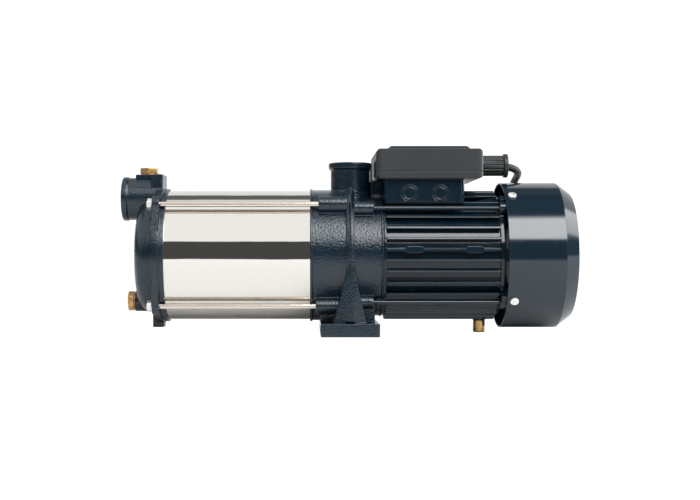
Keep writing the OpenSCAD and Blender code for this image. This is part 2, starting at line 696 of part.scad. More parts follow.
// Motor: finned frame with the cast base of the terminal box, stator, windings and rotor
module side_fins() {
  for (k = [-3.5:1:3.5], s = [-1, 1]) {
    z = k * fin_pitch;
    translate([0, 0, z - fin_t / 2]) block([fin_x0, s > 0 ? 40 : -fin_r - 1, 0],
      [frame_end, s > 0 ? fin_r + 1 : -40, fin_t]);
  }
}
module end_fins() {
  for (k = [-3.5:1:3.5], s = [-1, 1])
    translate([0, k * fin_pitch - fin_t / 2, 0]) block([fin_x0, 0, s > 0 ? 40 : -fin_r - 1],
      [frame_end, fin_t, s > 0 ? fin_r + 1 : -40]);
}
module motor_frame() {
  base_x1 = base_x0 + base_len;
  floor_h = base_h - 12;
  color(paint) difference() {
    union() {
      at_axis() {
        bar_x(bracket_end, frame_end, wall_r);
        bar_x(bracket_end, fin_x0, lantern_r - 0.4);
        intersection() {
          bar_x(fin_x0, frame_end, fin_r);
          union() {
            side_fins();
            end_fins();
          }
        }
        translate([0, 0, fin_pitch / 2]) for (x = [fin_x0 + 25.9, fin_x0 + 83.3], y = [-50, fin_r - 0.4])
          translate([x, y, 0]) rotate([90, 0, 0]) linear_extrude(fin_r - 50.4)
            polygon([[-10, 0], [-6.5, 2.9], [6.5, 2.9], [10, 0], [6.5, -2.9], [-6.5, -2.9]]);
        translate([pin_x, 0, -fin_r]) cylinder(h = 10, r = pin_r + 2);
        round_block([base_x0, -base_w / 2, 50.5], [base_x1, base_w / 2, base_h], 4);
        block([base_x0 + 13, -base_w / 2 - 0.8, 52], [base_x1 - 12.5, -base_w / 2 + 1, base_h - 2]);
      }
    }
    at_axis() {
      bar_x(bracket_end - 1, frame_end + 1, stator_r + fit_gap / 2);
      block([base_x0 + 4, -base_w / 2 + 4, floor_h], [base_x1 - 4, base_w / 2 - 4, base_h + 1]);
      translate([base_x0 + base_len / 2, 0, 40]) cylinder(h = 30, r = 8);
      at_corners(bolt_at) bar_x(bracket_end - 1, frame_end + 1, bolt_r + 1);
      for (x = [base_x0 + 24.4, base_x0 + 53.8]) translate([x, -base_w / 2 - 0.8, base_h - 13])
        rotate([-90, 0, 0]) for (r = [5.2, 7.6]) difference() {
          translate([0, 0, -1]) cylinder(h = 1.7, r = r + 0.8);
          translate([0, 0, -2]) cylinder(h = 4, r = r);
        }
      translate([pin_x, 0, -fin_r - 1]) cylinder(h = 8, r = 3.5);
    }
  }
}
module stator_core() {
  color(steel) at_axis() difference() {
    tube_x(core_x0, core_x1, stator_r, air_r);
    for (i = [0:slots - 1]) rotate([i * 360 / slots, 0, 0])
      block([core_x0 - 1, -2, air_r - 2], [core_x1 + 1, 2, air_r + 12]);
  }
}
module stator_windings() {
  end_len = 14;
  color(copper) at_axis() {
    for (x = [core_x0 - end_len, core_x1]) turned([[air_r + 2, x + 0.1], [air_r + 13, x + 0.1],
      [air_r + 14, x + 2], [air_r + 14, x + end_len - 2], [air_r + 13, x + end_len - 0.1],
      [air_r + 2, x + end_len - 0.1]]);
    for (i = [0:slots - 1]) rotate([i * 360 / slots, 0, 0])
      block([core_x0 - 1, -1.8, air_r + 2], [core_x1 + 1, 1.8, air_r + 11.5]);
  }
}
module rotor_core() {
  rotor_r = air_r - run_gap;
  color(steel) at_axis() turned([[core_r + fit_gap / 2, core_x0 - 5], [rotor_r - 3, core_x0 - 5],
    [rotor_r - 3, core_x0], [rotor_r, core_x0], [rotor_r, core_x1], [rotor_r - 3, core_x1],
    [rotor_r - 3, core_x1 + 5], [core_r + fit_gap / 2, core_x1 + 5]]);
}

// Rear shield: disc with the bearing pocket, ears for the motor bolts and lugs for the fan cover
module rear_shield() {
  color(paint) at_axis() difference() {
    union() {
      bar_x(frame_end, frame_end + 5, wall_r + 2);
      tube_x(frame_end - 3, frame_end + 1, stator_r - 0.1, stator_r - 4);
      bar_x(rear_bearing_x - 1, rear_bearing_x + bearing_w + 4, bearing_r + 4.5);
      at_corners(bolt_at) bar_x(frame_end, frame_end + 6, 6);
      for (a = [45:90:315]) rotate([a, 0, 0])
        block([frame_end, -5.2, 45], [frame_end + 4.6, 5.2, bolt_at * sqrt(2)]);
      for (a = [0:90:270]) rotate([a + 37.3, 0, 0])
        block([frame_end + 1, -3.6, 48], [screw_x + 5, 3.6, lug_r - 0.6]);
    }
    bar_x(rear_bearing_x - 2, rear_bearing_x + bearing_w + 1, bearing_r + fit_gap / 2);
    bar_x(rear_bearing_x - 2, rear_bearing_x + bearing_w + 10, shaft_r + 3);
    at_corners(bolt_at) bar_x(frame_end - 1, frame_end + 8, bolt_r + 0.3);
    for (a = [0:90:270]) rotate([a + 37.3, 0, 0])
      translate([screw_x, 0, lug_r - 12]) cylinder(h = 14, r = 2.1);
  }
}
module motor_bolts() {
  color(steel) at_axis() at_corners(bolt_at) {
    bar_x(ridge_x1 + 6, frame_end + 7, bolt_r);
    hex_x(frame_end + 6, frame_end + 10, 8);
  }
}
module support_pin() {
  color(brass) translate([pin_x, 0, 0]) {
    rotate_extrude() polygon([[0, 0], [pin_r - 1, 0], [pin_r, 1], [pin_r, axis_h - fin_r - 1],
      [pin_r - 1, axis_h - fin_r], [3.4, axis_h - fin_r], [3.4, axis_h - fin_r + 6],
      [0, axis_h - fin_r + 6]]);
  }
}

// Cooling fan on the end of the shaft, held by a spring clip
module cooling_fan() {
  bore = shaft_r - 0.5 + fit_gap / 2;
  color(black) at_axis() difference() {
    union() {
      bar_x(fan_x, fan_end, 12);
      bar_x(fan_x, fan_x + 2.5, fan_r - 14);
      for (i = [0:fan_blades - 1]) rotate([i * 360 / fan_blades, 0, 0]) {
        block([fan_x, -1.1, 10], [fan_end - 2, 1.1, fan_r]);
      }
    }
    bar_x(fan_x - 1, fan_end + 1, bore);
  }
}
module fan_clip() {
  color(steel) at_axis() tube_x(fan_end, fan_end + 1.2, 10.5, shaft_r - 0.5 + fit_gap / 2);
}

// Pressed steel fan cover: straight shell, cone, and rear face with rings of slots
module fan_cover() {
  inner_r = fan_cover_r - sheet_t;
  slope = (fan_cover_r - rear_face_r) / cone_len;
  color(paint) at_axis() difference() {
    turned([[inner_r, rim_x], [fan_cover_r, rim_x], [fan_cover_r, cone_x], [rear_face_r, rear_x],
      [0, rear_x], [0, rear_x - sheet_t], [rear_face_r - sheet_t / 2, rear_x - sheet_t],
      [inner_r, cone_x - 0.4 * sheet_t * slope]]);
    for (r = [13:9:rear_face_r - 10]) difference() {
      tube_x(rear_x - sheet_t - 1, rear_x + 1, r + 5, r);
      for (a = [0:60:120]) rotate([a, 0, 0]) block([rear_x - 4, -3, -60], [rear_x + 2, 3, 60]);
    }
    for (a = [0:90:270]) rotate([a + 37.3, 0, 0])
      translate([screw_x, 0, inner_r - 5]) cylinder(h = 12, r = 2.4);
  }
}
module fan_cover_screws() {
  color(steel) at_axis() for (a = [0:90:270]) rotate([a + 37.3, 0, 0]) translate([screw_x, 0, 0]) {
    translate([0, 0, lug_r - 9]) cylinder(h = 9 + sheet_t + 1, r = 1.95);
    translate([0, 0, fan_cover_r + 0.05]) cylinder(h = 1.6, r = 4.1);
  }
}

// Terminal box: gasket on the cast base, tray, lid, screws, capacitor and terminal block
module terminal_box_gasket() {
  color(rubber) difference() {
    round_block([base_x0, -base_w / 2, base_z], [base_x0 + base_len, base_w / 2, base_z + gasket_t], 4);
    block([base_x0 + 4, -base_w / 2 + 4, base_z - 1], [base_x0 + base_len - 4, base_w / 2 - 4, base_z + 2]);
  }
}
// Outer form of the box, with its edges rounded along all three directions
module box_form() {
  a = [box_x0, -box_w / 2, tray_z];
  b = [box_x1, box_w / 2, lid_top];
  intersection() {
    round_block(a, b, 5);
    round_along_y(a, b, 4.5);
  }
}
module round_along_y(a, b, r) {
  block([a[0] + r, a[1], a[2]], [b[0] - r, b[1], b[2]]);
  block([a[0], a[1], a[2] + r], [b[0], b[1], b[2] - r]);
  for (x = [a[0] + r, b[0] - r], z = [a[2] + r, b[2] - r])
    translate([x, b[1], z]) rotate([90, 0, 0]) cylinder(h = b[1] - a[1], r = r);
}
module at_box_screws() {
  for (x = [box_x0 + 9, box_x1 - 9], y = [-box_w / 2 + 9, box_w / 2 - 9])
    translate([x, y, 0]) children();
}
module terminal_box_tray() {
  color(black) difference() {
    intersection() {
      box_form();
      block([box_x0 - 1, -box_w, tray_z - 1], [box_x1 + 1, box_w, lid_z]);
    }
    difference() {
      block([box_x0 + box_t, -box_w / 2 + box_t, tray_z + box_t],
        [box_x1 - box_t, box_w / 2 - box_t, lid_z + 1]);
      at_box_screws() translate([0, 0, tray_z]) cylinder(h = tray_h, r = 5);
    }
    at_box_screws() translate([0, 0, tray_z + 2]) cylinder(h = tray_h, r = 1.9 + fit_gap);
    translate([base_x0 + base_len / 2, 0, tray_z - 1]) cylinder(h = box_t + 2, r = 8);
  }
}
module terminal_box_cover() {
  color(black) difference() {
    union() {
      intersection() {
        box_form();
        block([box_x0 - 1, -box_w, lid_z], [box_x1 + 1, box_w, lid_top + 1]);
      }
      translate([0, box_w / 2 - 8, 0]) rotate([90, 0, 0]) linear_extrude(box_w - 16)
        polygon([[box_x0 + 9, lid_top - 1], [box_x1 - 9, lid_top - 1], [box_x1 - 15, lid_top + raised_h],
          [box_x0 + 15, lid_top + raised_h]]);
      for (y = [-46, 36]) block([box_x0 - 1.4, y, tray_z + 1], [box_x0 - 0.05, y + 10, lid_z + 10]);
      for (y = [-46, 36]) block([box_x0 - 1.4, y, lid_z + 1], [box_x0 + 1, y + 10, lid_z + 10]);
    }
    difference() {
      union() {
        block([box_x0 + box_t, -box_w / 2 + box_t, lid_z - 1],
          [box_x1 - box_t, box_w / 2 - box_t, lid_top - box_t]);
        block([box_x0 + 17, -box_w / 2 + 11, lid_z],
          [box_x1 - 17, box_w / 2 - 11, lid_top + raised_h - box_t]);
      }
      at_box_screws() translate([0, 0, lid_z]) cylinder(h = lid_h, r = 5);
    }
    at_box_screws() {
      translate([0, 0, lid_z - 1]) cylinder(h = lid_h, r = 1.9 + fit_gap);
      translate([0, 0, lid_top - 5]) cylinder(h = 20, r = 3.3);
    }
    translate([0, 0, gland_z]) bar_x(box_x1 - 4, box_x1 + 1, 8 + fit_gap);
  }
}
module terminal_cover_screws() {
  color(steel) at_box_screws() {
    translate([0, 0, lid_top - 4.95]) cylinder(h = 2.4, r = 3);
    translate([0, 0, tray_z + 3]) cylinder(h = lid_top - tray_z - 7, r = 1.9);
  }
}
module run_capacitor() {
  x0 = box_x0 + (box_len - capacitor_len) / 2;
  y = box_w / 2 - box_t - capacitor_r - 17;
  color(resin) translate([0, y, tray_z + box_t + capacitor_r + 0.05]) {
    bar_x(x0, x0 + capacitor_len, capacitor_r);
    bar_x(x0 + capacitor_len, x0 + capacitor_len + 3, capacitor_r / 2.7);
  }
}
module terminal_block() {
  x0 = box_x0 + (box_len - block_len) / 2;
  y0 = -box_w / 2 + box_t + 18;
  color(resin) block([x0, y0, tray_z + box_t],
    [x0 + block_len, y0 + block_w, tray_z + box_t + block_w / 2]);
}

// Cable gland: threaded body through the wall of the box, rubber bush and fluted nut
module gland_body() {
  color(black) translate([0, 0, gland_z]) difference() {
    union() {
      bar_x(box_x1 - 8, box_x1 + 12, 8);
      bar_x(box_x1, box_x1 + 4, gland_r - 0.5);
    }
    bar_x(box_x1 - 9, box_x1 + 13, cable_r + 0.4);
  }
}
module gland_seal() {
  color(rubber) translate([0, 0, gland_z]) tube_x(box_x1 + 12.05, box_x1 + 18, 8, cable_r + 0.25);
}
module gland_nut() {
  color(black) translate([0, 0, gland_z]) difference() {
    union() {
      bar_x(box_x1 + 4.1, gland_end, gland_r);
      bar_x(gland_end - 4, gland_end, gland_r + 1.6);
    }
    for (a = [0:360 / flutes:359]) rotate([a, 0, 0]) translate([0, 0, gland_r + 0.5])
      bar_x(box_x1 + 6.5, gland_end - 4.6, 1.1);
    turned([[0, box_x1 + 3], [8 + fit_gap, box_x1 + 3], [8 + fit_gap, box_x1 + 18.1],
      [cable_r + 1.5, box_x1 + 18.1],
      [8.6, gland_end + 0.1], [0, gland_end + 0.1]]);
  }
}

// Power cable: the free run, the tied hank behind the fan cover, the tie and the plug
module power_cable() { color(rubber) swept_tube(cable_route, cable_r, 10, [0.6, -0.6, 0.5]); }
module at_hank() { translate([hank_at[0], hank_at[1], 0]) rotate([0, 0, hank_turn]) children(); }
module cord_hank() {
  side = hank_bend + cable_r;
  color(rubber) at_hank() difference() {
    union() {
      block([-side, 0, 0], [side, hank_run, hank_h]);
      for (y = [0, hank_run]) translate([0, y, 0]) cylinder(h = hank_h, r = side);
      block([-side, -lead_in, 0], [-side + 2 * cable_r, 1, 2 * cable_r]);
      translate([plug_s - cable_r, 0, 0]) rotate([90, 0, 90]) linear_extrude(2 * cable_r)
        polygon([[10, hank_h - 1], [tail_y0, hank_h - 1], [tail_y0, tail_z + cable_r],
          [tail_y0 - 4, tail_z + cable_r], [10, hank_h]]);
    }
    block([-side - 1, tie_y - 0.2, -1], [side + 1, tie_y + tie_w + 0.2, 1.1]);
  }
}
module cord_tie() {
  side = hank_bend + cable_r;
  color(black) at_hank() difference() {
    block([-side - 1.2, tie_y, 0], [side + 1.2, tie_y + tie_w, hank_h + 1.2]);
    block([-side - 0.1, tie_y - 1, 1], [side + 0.1, tie_y + tie_w + 1, hank_h + 0.1]);
  }
}
module mains_plug() {
  color(black) at_hank() translate([plug_s, 0, 0]) {
    translate([0, plug_t, hank_h + 0.05]) cylinder(h = plug_body, r = plug_r);
    translate([0, plug_t, tail_z]) rotate([90, 0, 0])
      cylinder(h = plug_t - tail_y0 - 0.05, r = cable_r + 1.5);
    for (x = [-9.5, 9.5]) translate([x, plug_t, hank_h + plug_body]) cylinder(h = 19, r = 2.4);
  }
}

suction_cover();
fill_plug();
fill_plug_washer();
drain_plug();
drain_plug_washer();
barrel();
barrel_front_seal();
barrel_rear_seal();
tie_rods();
tie_rod_nuts();
pump_bracket();
stage_casing(1);  // stage_casing_1
stage_casing(2);  // stage_casing_2
stage_casing(3);  // stage_casing_3
stage_casing(4);  // stage_casing_4
stage_casing(5);  // stage_casing_5
impeller(1);  // impeller_1
impeller(2);  // impeller_2
impeller(3);  // impeller_3
impeller(4);  // impeller_4
impeller(5);  // impeller_5
shaft_spacers();
impeller_nut();
seal_seat();
seal_head();
seal_spring();
slinger();
pump_shaft();
bearing_outer(bearing_x0);  // front_bearing_outer
bearing_inner(bearing_x0);  // front_bearing_inner
bearing_balls(bearing_x0);  // front_bearing_balls
bearing_outer(rear_bearing_x);  // rear_bearing_outer
bearing_inner(rear_bearing_x);  // rear_bearing_inner
bearing_balls(rear_bearing_x);  // rear_bearing_balls
wave_washer();
motor_frame();
stator_core();
stator_windings();
rotor_core();
rear_shield();
motor_bolts();
support_pin();
cooling_fan();
fan_clip();
fan_cover();
fan_cover_screws();
terminal_box_tray();
terminal_box_gasket();
terminal_box_cover();
terminal_cover_screws();
run_capacitor();
terminal_block();
gland_body();
gland_seal();
gland_nut();
power_cable();
cord_hank();
cord_tie();
mains_plug();
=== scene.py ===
import json
import math

import bpy
from mathutils import Matrix, Vector

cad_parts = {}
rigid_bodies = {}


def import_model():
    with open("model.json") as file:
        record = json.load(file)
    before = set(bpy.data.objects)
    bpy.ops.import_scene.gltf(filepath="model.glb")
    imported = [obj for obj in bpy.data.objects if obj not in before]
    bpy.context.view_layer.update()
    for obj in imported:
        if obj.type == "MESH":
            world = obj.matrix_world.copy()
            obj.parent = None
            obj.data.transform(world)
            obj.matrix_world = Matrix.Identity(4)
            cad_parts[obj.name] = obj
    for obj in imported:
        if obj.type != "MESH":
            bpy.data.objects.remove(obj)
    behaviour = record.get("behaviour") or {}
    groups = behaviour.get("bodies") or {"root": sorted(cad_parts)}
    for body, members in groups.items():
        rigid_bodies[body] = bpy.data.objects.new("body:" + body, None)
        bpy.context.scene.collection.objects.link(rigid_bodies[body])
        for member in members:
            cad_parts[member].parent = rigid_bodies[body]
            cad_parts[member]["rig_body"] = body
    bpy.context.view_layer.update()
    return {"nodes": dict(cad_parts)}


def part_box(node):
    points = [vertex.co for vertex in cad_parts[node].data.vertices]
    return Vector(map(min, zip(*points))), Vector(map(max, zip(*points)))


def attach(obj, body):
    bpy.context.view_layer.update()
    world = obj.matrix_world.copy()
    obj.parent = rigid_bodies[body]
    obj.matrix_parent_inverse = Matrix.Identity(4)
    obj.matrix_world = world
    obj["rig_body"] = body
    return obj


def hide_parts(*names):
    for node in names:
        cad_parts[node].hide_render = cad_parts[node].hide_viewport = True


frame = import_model()
nodes = frame["nodes"]

# Suction cover: grey iron, sand cast in one piece with its port and the pads of both plugs.
# A hard glossy coat of dark blue paint lies over it, so its edges are soft and its skin keeps a
# low orange peel. The tie rods clamp its flange on the barrel.


def surface_group():
    """Slow mottling and fine grain over any surface, in object space."""
    group = bpy.data.node_groups.new("surface_change", "ShaderNodeTree")
    face = group.interface
    for name, value in (("Patch size", 30.0), ("Grain size", 900.0), ("Patch strength", 0.1),
                        ("Rough from", 0.25), ("Rough to", 0.35)):
        socket = face.new_socket(name, in_out="INPUT", socket_type="NodeSocketFloat")
        socket.default_value = value
    colour = face.new_socket("Colour", in_out="INPUT", socket_type="NodeSocketColor")
    colour.default_value = (0.5, 0.5, 0.5, 1)
    face.new_socket("Colour", in_out="OUTPUT", socket_type="NodeSocketColor")
    face.new_socket("Roughness", in_out="OUTPUT", socket_type="NodeSocketFloat")
    face.new_socket("Height", in_out="OUTPUT", socket_type="NodeSocketFloat")
    add = group.nodes.new
    link = group.links.new
    inside, outside = add("NodeGroupInput"), add("NodeGroupOutput")
    place = add("ShaderNodeTexCoord")
    patch, grain = add("ShaderNodeTexNoise"), add("ShaderNodeTexNoise")
    patch.inputs["Detail"].default_value = 4
    grain.inputs["Detail"].default_value = 3
    for noise, size in ((patch, "Patch size"), (grain, "Grain size")):
        link(place.outputs["Object"], noise.inputs["Vector"])
        link(inside.outputs[size], noise.inputs["Scale"])
    rough = add("ShaderNodeMapRange")
    rough.inputs["From Min"].default_value = 0.3
    rough.inputs["From Max"].default_value = 0.7
    link(patch.outputs["Fac"], rough.inputs["Value"])
    link(inside.outputs["Rough from"], rough.inputs["To Min"])
    link(inside.outputs["Rough to"], rough.inputs["To Max"])
    centred = add("ShaderNodeMath")
    centred.operation = "SUBTRACT"
    centred.inputs[1].default_value = 0.5
    link(patch.outputs["Fac"], centred.inputs[0])
    share = add("ShaderNodeMath")
    share.operation = "MULTIPLY_ADD"
    share.inputs[2].default_value = 1.0
    link(centred.outputs["Value"], share.inputs[0])
    link(inside.outputs["Patch strength"], share.inputs[1])
    tint = add("ShaderNodeVectorMath")
    tint.operation = "SCALE"
    link(inside.outputs["Colour"], tint.inputs[0])
    link(share.outputs["Value"], tint.inputs["Scale"])
    link(tint.outputs["Vector"], outside.inputs["Colour"])
    link(rough.outputs["Result"], outside.inputs["Roughness"])
    link(grain.outputs["Fac"], outside.inputs["Height"])
    return group


surface_change = surface_group()


def material(name, colour, rough, metallic=0.0, bump=0.0, grain=900.0, patch=30.0, strength=0.2,
             depth=0.0002, specular=0.5):
    """A Principled surface whose colour, roughness and relief change with the shared group."""
    made = bpy.data.materials.new(name)
    made.use_nodes = True
    tree = made.node_tree
    shader = tree.nodes["Principled BSDF"]
    skin = tree.nodes.new("ShaderNodeGroup")
    skin.node_tree = surface_change
    for socket, value in (("Colour", (*colour, 1)), ("Patch size", patch), ("Grain size", grain),
                          ("Patch strength", strength), ("Rough from", rough[0]),
                          ("Rough to", rough[1])):
        skin.inputs[socket].default_value = value
    tree.links.new(skin.outputs["Colour"], shader.inputs["Base Color"])
    tree.links.new(skin.outputs["Roughness"], shader.inputs["Roughness"])
    shader.inputs["Metallic"].default_value = metallic
    shader.inputs["Specular IOR Level"].default_value = specular
    if bump:
        relief = tree.nodes.new("ShaderNodeBump")
        relief.inputs["Strength"].default_value = bump
        relief.inputs["Distance"].default_value = depth
        tree.links.new(skin.outputs["Height"], relief.inputs["Height"])
        tree.links.new(relief.outputs["Normal"], shader.inputs["Normal"])
    return made


def paint_over(piece, finish):
    """One material on a whole piece."""
    piece.data.materials.clear()
    piece.data.materials.append(finish)


def paint_nodes(finish, *names):
    """One material on each of these solids."""
    for name in names:
        paint_over(nodes[name], finish)


def alone(piece):
    """Selects one object and makes it active."""
    bpy.ops.object.select_all(action="DESELECT")
    piece.select_set(True)
    bpy.context.view_layer.objects.active = piece


SHARP_EDGE = math.radians(30)
SMOOTH_EDGE = math.radians(35)


def round_edges(piece, width, steps=2, clamp=True):
    """Rounds the sharp edges of a selected piece."""
    edge = piece.modifiers.new("edge", "BEVEL")
    edge.limit_method = "ANGLE"
    edge.angle_limit = SHARP_EDGE
    edge.width = width
    edge.segments = steps
    edge.use_clamp_overlap = clamp
    bpy.ops.object.modifier_apply(modifier="edge")
    bpy.ops.object.shade_smooth_by_angle(angle=SMOOTH_EDGE)


def even_shading(piece):
    """Lets the large faces of a selected piece lead the shading of its rounded edges."""
    even = piece.modifiers.new("even", "WEIGHTED_NORMAL")
    even.keep_sharp = True
    bpy.ops.object.modifier_apply(modifier="even")


def rounded(node, finish, width):
    """A merged copy of a solid with its sharp edges rounded, in that solid's place."""
    body = nodes[node]["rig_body"]
    piece = bpy.data.objects.new(node + "_skin", nodes[node].data.copy())
    bpy.context.scene.collection.objects.link(piece)
    alone(piece)
    bpy.ops.object.mode_set(mode="EDIT")
    bpy.ops.mesh.select_all(action="SELECT")
    bpy.ops.mesh.remove_doubles(threshold=0.00001)
    bpy.ops.mesh.dissolve_limited(angle_limit=math.radians(0.6))
    bpy.ops.object.mode_set(mode="OBJECT")
    round_edges(piece, width, clamp=False)
    even_shading(piece)
    paint_over(piece, finish)
    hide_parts(node)
    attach(piece, body)
    return piece


NAVY = (0.0042, 0.0125, 0.0205)
cast_paint = material("cast_paint", NAVY, rough=(0.16, 0.26), bump=0.5, grain=560, patch=60,
                      strength=0.25, depth=0.0005, specular=0.55)
rounded("suction_cover", cast_paint, width=0.0006)

# Thread of the suction port: an inside pipe thread of size G1, cut into the bare iron of the
# neck. The solids have the port as a plain bore, and the rings of the thread stand in it.
bare_iron = material("bare_iron", (0.42, 0.41, 0.4), rough=(0.28, 0.4), metallic=1.0, bump=0.05,
                     grain=1500)
THREAD_R = 0.0166
THREAD_CREST = 0.0152
THREAD_PITCH = 0.002309
THREAD_SIDES = 64
SLEEVE_WALL = 1.018
SUCTION_MOUTH = (-0.2147, 0, 0.133)


def port_thread(name, place, rings=7):
    """The rings of the thread as one closed sleeve, set into a port from its mouth."""
    bpy.ops.object.select_all(action="DESELECT")
    bpy.ops.mesh.primitive_circle_add(vertices=THREAD_SIDES, radius=THREAD_R)
    sleeve = bpy.context.object
    sleeve.name = name
    bpy.ops.object.mode_set(mode="EDIT")
    bpy.ops.mesh.select_all(action="SELECT")
    flanks = [(THREAD_CREST / THREAD_R, -THREAD_PITCH / 2),
              (THREAD_R / THREAD_CREST, -THREAD_PITCH / 2)] * rings
    for share, rise in flanks + [(SLEEVE_WALL, 0), (1, THREAD_PITCH * rings)]:
        bpy.ops.mesh.extrude_region_move(TRANSFORM_OT_translate={"value": (0, 0, rise)})
        bpy.ops.transform.resize(value=(share, share, 1), center_override=(0, 0, 0))
    bpy.ops.mesh.select_all(action="DESELECT")
    bpy.ops.mesh.select_non_manifold()
    bpy.ops.mesh.bridge_edge_loops()
    bpy.ops.mesh.select_all(action="SELECT")
    bpy.ops.mesh.normals_make_consistent(inside=False)
    bpy.ops.object.mode_set(mode="OBJECT")
    sleeve.data.transform(place)
    alone(sleeve)
    bpy.ops.object.shade_smooth_by_angle(angle=SMOOTH_EDGE)
    paint_over(sleeve, bare_iron)
    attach(sleeve, "root")


port_thread("suction_thread",
            Matrix.Translation(SUCTION_MOUTH) @ Matrix.Rotation(math.radians(-90), 4, "Y"))

# Fill and drain plugs: brass hexagons turned from bar, each sealed on its pad by a washer of
# soft copper. The turned faces keep a fine grain and small changes of shine.
brass = material("brass", (0.72, 0.445, 0.175), rough=(0.22, 0.34), metallic=1.0, bump=0.08,
                 grain=1600, patch=90, strength=0.15)
copper = material("copper", (0.65, 0.30, 0.17), rough=(0.3, 0.42), metallic=1.0, bump=0.1,
                  grain=1500)
for node in ("fill_plug", "drain_plug"):
    rounded(node, brass, width=0.0006)
for node in ("fill_plug_washer", "drain_plug_washer"):
    rounded(node, copper, width=0.0002)

# Barrel: a stainless steel tube polished to a mirror, thin enough that its reflections waver a
# little. It is held between two flat rubber rings in the collars of the cover and the bracket.
mirror_steel = material("mirror_steel", (0.73, 0.70, 0.65), rough=(0.02, 0.04), metallic=1.0,
                        bump=1.0, grain=14, patch=12, strength=0.04, depth=0.0004)
rubber = material("rubber", (0.02, 0.02, 0.021), rough=(0.6, 0.75), bump=0.2, grain=1200)
rounded("barrel", mirror_steel, width=0.0003)
paint_nodes(rubber, "barrel_front_seal", "barrel_rear_seal")

# Stages: five casings with their guide vanes and five closed impellers, moulded in glass filled
# plastic. They are stacked on the shaft and closed in by the barrel.
stage_plastic = material("stage_plastic", (0.62, 0.58, 0.47), rough=(0.4, 0.5), bump=0.1)
for n in range(1, 6):
    paint_nodes(stage_plastic, f"stage_casing_{n}", f"impeller_{n}")

# Tie rods and nuts: four bright drawn rods, screwed into the bracket, and zinc plated nuts that
# draw the flange of the suction cover against the barrel.
plated = material("plated_steel", (0.72, 0.71, 0.68), rough=(0.16, 0.28), metallic=1.0, bump=0.06,
                  grain=1500, patch=120, strength=0.12)
rod_steel = material("rod_steel", (0.70, 0.62, 0.54), rough=(0.1, 0.16), metallic=1.0, patch=40,
                     strength=0.05)
zinc = material("zinc", (0.92, 0.91, 0.88), rough=(0.42, 0.5), metallic=1.0, bump=0.05, grain=1500,
                patch=120, strength=0.05)
paint_nodes(rod_steel, "tie_rods")
rounded("tie_rod_nuts", zinc, width=0.0004)

# Pump bracket: cast iron with its foot, its discharge neck and the bosses of the tie rods. A
# rough sand skin shows under the same glossy paint. The neck has the same thread as the port.
DISCHARGE_MOUTH = (0.0022, 0, 0.1589)
bracket_paint = material("bracket_paint", NAVY, rough=(0.04, 0.09), bump=0.6, grain=600, patch=45,
                         strength=0.3, depth=0.0006, specular=0.55)
rounded("pump_bracket", bracket_paint, width=0.0006)
port_thread("discharge_thread", Matrix.Translation(DISCHARGE_MOUTH))

# Shaft, seal and bearings, all hidden in the lantern and the motor: a ground steel shaft in two
# ball bearings, with a carbon seal that runs on a ceramic ring and a rubber slinger behind it.
ground = material("ground_steel", (0.7, 0.7, 0.69), rough=(0.14, 0.24), metallic=1.0, bump=0.04,
                  grain=2200)
ceramic = material("ceramic", (0.82, 0.8, 0.74), rough=(0.2, 0.3))
carbon = material("carbon", (0.03, 0.03, 0.032), rough=(0.35, 0.5), bump=0.06)
paint_nodes(ground, "pump_shaft", "front_bearing_outer", "front_bearing_inner",
            "front_bearing_balls", "rear_bearing_outer", "rear_bearing_inner",
            "rear_bearing_balls", "wave_washer", "shaft_spacers", "seal_spring")
paint_nodes(brass, "impeller_nut")
paint_nodes(ceramic, "seal_seat")
paint_nodes(carbon, "seal_head")
paint_nodes(rubber, "slinger")

# Motor frame: die cast aluminium with cooling fins and the base of the terminal box, painted
# with the rest of the pump. It is bolted to the bracket.
frame_paint = material("frame_paint", NAVY, rough=(0.05, 0.1), bump=0.1, grain=600, patch=50,
                       strength=0.25, depth=0.0002, specular=0.42)
rounded("motor_frame", frame_paint, width=0.0004)

# Fin pads: four low six sided pads on the middle fins, where the ejector pins push the casting
# out of its die. They are part of the frame's casting, and their faces are flat.
PAD_LENGTH = 0.0205
PAD_HEIGHT = 0.0062
PAD_DEPTH = 0.004
PAD_FACE = 0.0641
PAD_X = (0.0619, 0.1193)
PAD_Z = 0.08235
PAD_STRETCH = 0.0018
HEXAGON_HEIGHT = 0.866
bpy.ops.object.select_all(action="DESELECT")
pads = []
for side in (-1, 1):
    for pad_x in PAD_X:
        bpy.ops.mesh.primitive_cylinder_add(vertices=6, radius=0.5, depth=PAD_DEPTH)
        pad = bpy.context.object
        pad.data.transform(Matrix.Translation((pad_x, side * (PAD_FACE - PAD_DEPTH / 2), PAD_Z))
                           @ Matrix.Diagonal((PAD_LENGTH, 1, PAD_HEIGHT / HEXAGON_HEIGHT, 1))
                           @ Matrix.Rotation(math.radians(90), 4, "X")
                           @ Matrix.Rotation(math.radians(30), 4, "Z"))
        for point in pad.data.vertices:
            if abs(point.co.z - PAD_Z) > PAD_HEIGHT / 4:
                point.co.x += math.copysign(PAD_STRETCH, point.co.x - pad_x)
        pads.append(pad)
for pad in pads:
    pad.select_set(True)
bpy.ops.object.join()
fin_pads = bpy.context.object
fin_pads.name = "fin_pads"
alone(fin_pads)
round_edges(fin_pads, width=0.0006)
even_shading(fin_pads)
paint_over(fin_pads, frame_paint)
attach(fin_pads, "root")

